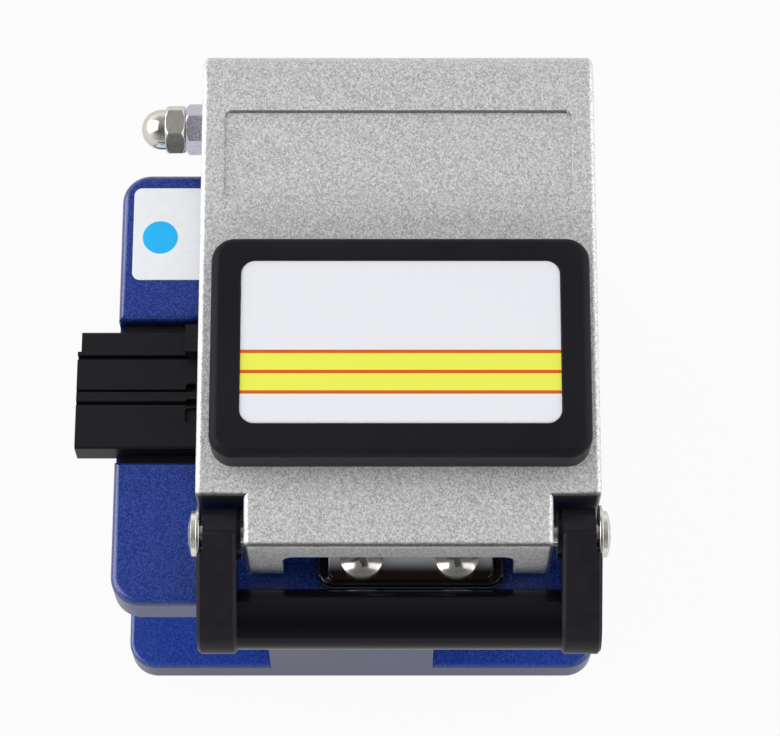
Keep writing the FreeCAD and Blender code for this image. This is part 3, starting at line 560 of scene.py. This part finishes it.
def springTree():
    inputs = dict.fromkeys(("Radius", "Width", "Wire", "Rotations", "Start Angle"), "Float")
    points = dict.fromkeys(("Middle", "Upper Start", "Upper Tip", "Lower Start", "Lower Tip"), "Vector")
    tree, given = newTree("torsionSpring", {**inputs, **points})
    coil = addNode(tree, "GeometryNodeCurveSpiral", Resolution=spring["perTurn"],
                   Rotations=given["Rotations"], Start_Radius=given["Radius"], End_Radius=given["Radius"],
                   Height=calc(tree, "MULTIPLY", given["Width"], -1.0)).outputs[0]
    coil = moved(tree, coil, turn=(0, -math.pi / 2, 0))
    coil = moved(tree, coil, turn=xyz(tree, calc(tree, "MULTIPLY", given["Start Angle"], -1.0)))
    shift = addNode(tree, "ShaderNodeVectorMath", {"operation": "ADD"}, i0=given["Middle"],
                    i1=xyz(tree, calc(tree, "MULTIPLY", given["Width"], -0.5))).outputs[0]
    lines = [moved(tree, coil, shift)]
    for end in ("Upper", "Lower"):
        lines.append(addNode(tree, "GeometryNodeCurvePrimitiveLine", Start=given[end + " Start"],
                             End=given[end + " Tip"]).outputs[0])
    curves = addNode(tree, "GeometryNodeJoinGeometry", Geometry=lines).outputs[0]
    ring = addNode(tree, "GeometryNodeCurvePrimitiveCircle", {"mode": "RADIUS"},
                   Resolution=spring["wireSides"], Radius=given["Wire"]).outputs[0]
    wire = addNode(tree, "GeometryNodeCurveToMesh", Curve=curves, Profile_Curve=ring, Fill_Caps=True)
    endTree(tree, given, wire.outputs[0])
    return tree


def addSpring():
    low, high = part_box("torsion_spring")
    middle = sum(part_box("hinge_shaft"), Vector()) / 2
    middle.x = (low.x + high.x) / 2
    wire = spring["wire"]
    radius = high.y - middle.y - wire
    width = high.x - low.x - 2 * wire
    leans = math.radians(spring["upperLean"]), math.radians(spring["lowerLean"])
    ends = {}
    for name, sign, lean, leg in (("Upper", 1, leans[0], spring["upperLeg"]),
                                  ("Lower", -1, leans[1], spring["lowerLeg"])):
        rim = Vector((0, radius * math.sin(lean), sign * radius * math.cos(lean)))
        start = middle + rim - Vector((sign * width / 2, 0, 0))
        ends[name + "_Start"] = start
        ends[name + "_Tip"] = start + Vector((0, -math.cos(lean), sign * math.sin(lean))) * leg
    rotations = spring["turns"] + (math.pi - sum(leans)) / (2 * math.pi)
    seed = pointPiece("torsion_spring_look", [middle], finish["spring"])
    piece = growTree(seed, springTree(), Radius=radius, Width=width, Wire=wire, Rotations=rotations,
                     Start_Angle=leans[0], Middle=middle, Finish=finish["spring"], **ends)
    smoothByAngle(piece.data)
    settle(piece, "torsion_spring")


addSpring()

feet = {"sides": 56, "dish": 0.55, "dishDepth": 0.35 * mm, "edge": 0.24 * mm, "edgeSteps": 3}


def footTree():
    tree, given = newTree("rubberFeet", {"Radius": "Float", "Height": "Float", "Dish Radius": "Float",
                                         "Dish Depth": "Float"})
    puck = addNode(tree, "GeometryNodeMeshCylinder", Vertices=feet["sides"], Radius=given["Radius"],
                   Depth=given["Height"]).outputs["Mesh"]
    puck = moved(tree, puck, xyz(tree, z=calc(tree, "MULTIPLY", given["Height"], 0.5)))
    dish = addNode(tree, "GeometryNodeMeshCylinder", Vertices=feet["sides"], Radius=given["Dish Radius"],
                   Depth=calc(tree, "MULTIPLY", given["Dish Depth"], 2.0)).outputs["Mesh"]
    foot = addNode(tree, "GeometryNodeMeshBoolean", {"operation": "DIFFERENCE", "solver": "EXACT"},
                   i0=puck, i1=dish).outputs["Mesh"]
    row = addNode(tree, "GeometryNodeInstanceOnPoints", Points=given["Geometry"], Instance=foot)
    endTree(tree, given, row.outputs[0])
    return tree


def addFeet():
    boxes = looseBoxes("rubber_feet")
    size = boxes[0][1] - boxes[0][0]
    radius = size.x / 2
    places = [Vector(((low.x + high.x) / 2, (low.y + high.y) / 2, low.z)) for low, high in boxes]
    points = pointPiece("rubber_feet_look", places, finish["rubber"])
    piece = growTree(points, footTree(), Radius=radius, Height=size.z, Dish_Radius=radius * feet["dish"],
                     Dish_Depth=feet["dishDepth"], Finish=finish["rubber"])
    settle(breakEdges(piece, feet["edge"], feet["edgeSteps"]), "rubber_feet")


addFeet()
print("spring and feet made")


label = {"white": (0.72, 0.73, 0.765), "yellow": (0.75, 0.76, 0.085), "line": (0.60, 0.10, 0.010),
         "lines": (0.562, 0.686, 0.811), "lineWidth": 0.42 * mm, "slope": 3.6}


def labelFilm():  # stripes run across, at shares of the label's length from its rear
    low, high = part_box("label_plate")
    slope = math.radians(label["slope"])
    along = (0.0, -math.cos(slope), -math.sin(slope))
    rear = Vector((0, high.y, high.z))
    reach = (high.y - low.y) / math.cos(slope)
    mat, tree, shader, place = startMaterial("striped_label", label["white"], 0.3, Specular_IOR_Level=0.4)
    down = addNode(tree, "ShaderNodeVectorMath", {"operation": "DOT_PRODUCT"}, i0=place, i1=along)
    depth = calc(tree, "SUBTRACT", down.outputs["Value"], rear.dot(Vector(along)))
    first, last = label["lines"][0] * reach, label["lines"][-1] * reach
    inBand = calc(tree, "COMPARE", depth, (first + last) / 2, (last - first) / 2)
    colour = mixed(tree, inBand, (*label["white"], 1), (*label["yellow"], 1))
    for share in label["lines"]:
        onLine = calc(tree, "COMPARE", depth, share * reach, label["lineWidth"] / 2)
        colour = mixed(tree, onLine, colour, (*label["line"], 1))
    paint(tree, shader, colour)
    bumpInto(tree, shader, noise(tree, place, 1500.0, 3.0), 0.04, 0.02 * mm)
    return mat


def whiteFilm():
    mat, tree, shader, place = startMaterial("white_film", (0.85, 0.86, 0.88), 0.3, Specular_IOR_Level=0.4)
    paper = noise(tree, place, 1200.0, 3.0)
    paint(tree, shader, ramp(tree, paper, [(0.3, (0.80, 0.82, 0.84)), (0.7, (0.83, 0.85, 0.87))]))
    bumpInto(tree, shader, paper, 0.04, 0.02 * mm)
    return mat


disc = {"fromLeft": 3.4 * mm, "belowMiddle": 0.5 * mm, "radius": 2.2 * mm, "thick": 0.03 * mm,
        "colour": (0.012, 0.47, 0.92)}


def discInk():
    mat, tree, shader, place = startMaterial("blue_disc_ink", disc["colour"], 0.3)
    red, green, sea = disc["colour"]
    paint(tree, shader, ramp(tree, noise(tree, place, 2500.0, 2.0), [
        (0.3, (red, green * 0.93, sea * 0.96)), (0.7, disc["colour"])]))
    return mat


def addDisc():
    low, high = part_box("shelf_label")
    middle = Vector((low.x + disc["fromLeft"], (low.y + high.y) / 2 - disc["belowMiddle"],
                     high.z + disc["thick"] / 2))
    work = bmesh.new()
    bmesh.ops.create_cone(work, cap_ends=True, segments=64, radius1=disc["radius"],
                          radius2=disc["radius"] * 0.99, depth=disc["thick"],
                          matrix=Matrix.Translation(middle))
    mesh = bpy.data.meshes.new("shelf_disc")
    work.to_mesh(mesh)
    work.free()
    piece = asPiece("shelf_disc", mesh, discInk())
    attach(piece, "frame")


settle(dressNode("label_plate", labelFilm()), "label_plate")
settle(dressNode("shelf_label", whiteFilm()), "shelf_label")
addDisc()
print("films made")


view = {"place": (6.05 * mm, -126.04 * mm, 383.7 * mm), "down": 70.0, "focal": 2990.0, "width": 780.0,
        "sensor": 36.0}  # focal length and width are in the same unit


def addCamera():
    data = bpy.data.cameras.new("camera")
    data.sensor_width = view["sensor"]
    data.lens = view["focal"] / view["width"] * view["sensor"]
    data.clip_start = 0.01
    data.clip_end = 20
    camera = bpy.data.objects.new("camera", data)
    camera.location = view["place"]
    camera.rotation_euler = (math.radians(90 - view["down"]), 0, 0)
    bpy.context.scene.collection.objects.link(camera)
    bpy.context.scene.camera = camera


lamps = {
    "left": {"at": (-0.58, 0.08, 0.50), "size": (0.80, 0.90), "watts": 4.6},
    "right": {"at": (0.56, 0.08, 0.52), "size": (0.80, 0.90), "watts": 2.4},
    "front": {"at": (0.0, -0.60, 0.48), "size": (0.60, 0.30), "watts": 2.5, "unseen": True},
}


def addLamps():
    aim = Vector((0, 0, 0.03))
    for name, lamp in lamps.items():
        data = bpy.data.lights.new(name, "AREA")
        data.shape = "RECTANGLE"
        data.size, data.size_y = lamp["size"]
        data.energy = lamp["watts"]
        item = bpy.data.objects.new(name, data)
        item.location = lamp["at"]
        item.visible_glossy = not lamp.get("unseen", False)
        item.rotation_euler = (aim - Vector(lamp["at"])).to_track_quat("-Z", "Y").to_euler()
        bpy.context.scene.collection.objects.link(item)


room = {"topRear": 0.29, "topFront": 0.03, "side": 1.0, "rear": 0.6, "front": 0.20,
        "low": 0.35, "high": 0.80}  # the walls fade out between low and high


def addWorld():  # white side walls, dim overhead and in front; the camera itself sees white
    world = bpy.data.worlds.new("room")
    bpy.context.scene.world = world
    world.use_nodes = True
    tree = world.node_tree
    back = tree.nodes["Background"]
    back.inputs["Color"].default_value = (1, 1, 1, 1)
    across, along, rise = axes(tree, addNode(tree, "ShaderNodeTexCoord").outputs["Generated"])
    walls = calc(tree, "MULTIPLY", calc(tree, "MULTIPLY", across, across), room["side"])
    for sign, name in ((1.0, "rear"), (-1.0, "front")):
        facing = calc(tree, "MAXIMUM", calc(tree, "MULTIPLY", along, sign), 0.0)
        walls = calc(tree, "MULTIPLY_ADD", calc(tree, "MULTIPLY", facing, facing), room[name], walls)
    height = remap(tree, rise, room["low"], room["high"], 1.0, 0.0, interpolation_type="SMOOTHSTEP")
    ceiling = remap(tree, along, -0.4, 0.4, room["topFront"], room["topRear"])
    tone = calc(tree, "MULTIPLY_ADD", walls, height, ceiling)
    path = addNode(tree, "ShaderNodeLightPath")
    strength = addNode(tree, "ShaderNodeMix", i0=path.outputs["Is Camera Ray"], i2=tone, i3=1.0)
    tree.links.new(strength.outputs[0], back.inputs["Strength"])


ground = {"half": 1.5, "colour": 0.50, "rough": 0.9, "cameraGlow": 0.94, "glossyGlow": 0.36}


def addFloor():
    mesh = bpy.data.meshes.new("floor")
    half = ground["half"]
    corners = [(-half, -half, 0), (half, -half, 0), (half, half, 0), (-half, half, 0)]
    mesh.from_pydata(corners, [], [(0, 1, 2, 3)])
    mat = bpy.data.materials.new("floor_white")
    mat.use_nodes = True
    tree = mat.node_tree
    shader = tree.nodes["Principled BSDF"]
    shader.inputs["Base Color"].default_value = (*grey(ground["colour"]), 1)
    shader.inputs["Roughness"].default_value = ground["rough"]
    path = addNode(tree, "ShaderNodeLightPath")
    mirrored = calc(tree, "MAXIMUM", path.outputs["Is Glossy Ray"], path.outputs["Is Transmission Ray"])
    share = calc(tree, "MULTIPLY_ADD", path.outputs["Is Camera Ray"], ground["cameraGlow"],
                 calc(tree, "MULTIPLY", mirrored, ground["glossyGlow"]))
    glow = addNode(tree, "ShaderNodeEmission", Color=(1, 1, 1, 1), Strength=1.0)
    both = addNode(tree, "ShaderNodeMixShader", i0=share, i1=shader.outputs[0], i2=glow.outputs[0])
    tree.links.new(both.outputs[0], tree.nodes["Material Output"].inputs["Surface"])
    asPiece("floor", mesh, mat)


addCamera()
addLamps()
addWorld()
addFloor()
bpy.context.scene.view_settings.view_transform = "Standard"
print("camera and light set")
